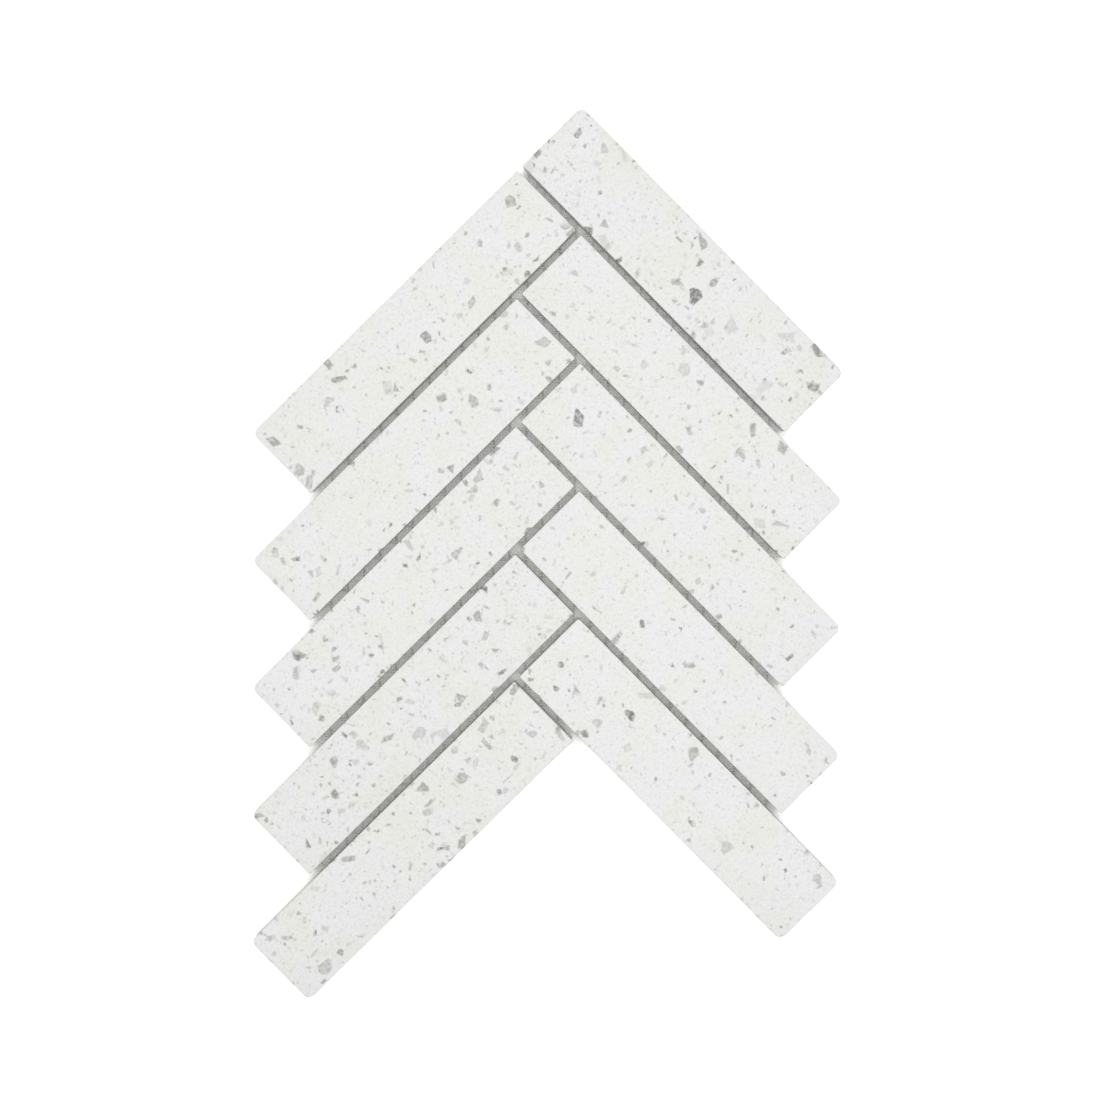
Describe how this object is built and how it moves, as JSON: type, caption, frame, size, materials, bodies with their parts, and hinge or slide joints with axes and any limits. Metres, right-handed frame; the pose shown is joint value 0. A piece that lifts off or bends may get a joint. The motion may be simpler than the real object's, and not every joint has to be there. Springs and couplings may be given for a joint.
{
  "type": "terrazzo herringbone mosaic tile",
  "caption": "Flat mosaic tile of speckled white terrazzo strips in a pointed herringbone with open joints, bonded to a backing mesh, for tiling walls and floors.",
  "frame": {"origin": "middle of the sheet's outline in X and Y, on the underside of the backing mesh, which is the bonding face", "axes": "+X across the herringbone, +Y towards its peak, +Z out of the finished face"},
  "size_m": [0.179, 0.2724, 0.0101],
  "materials": {
    "terrazzo": "matte",
    "glass_fibre_mesh": "matte"
  },
  "bodies": {
    "root": {"strip_left_1": "terrazzo", "strip_left_2": "terrazzo", "strip_left_3": "terrazzo", "strip_left_4": "terrazzo", "strip_left_5": "terrazzo", "strip_right_1": "terrazzo", "strip_right_2": "terrazzo", "strip_right_3": "terrazzo", "strip_right_4": "terrazzo", "strip_right_5": "terrazzo", "backing_mesh": "glass_fibre_mesh"}
  },
  "joints": []
}
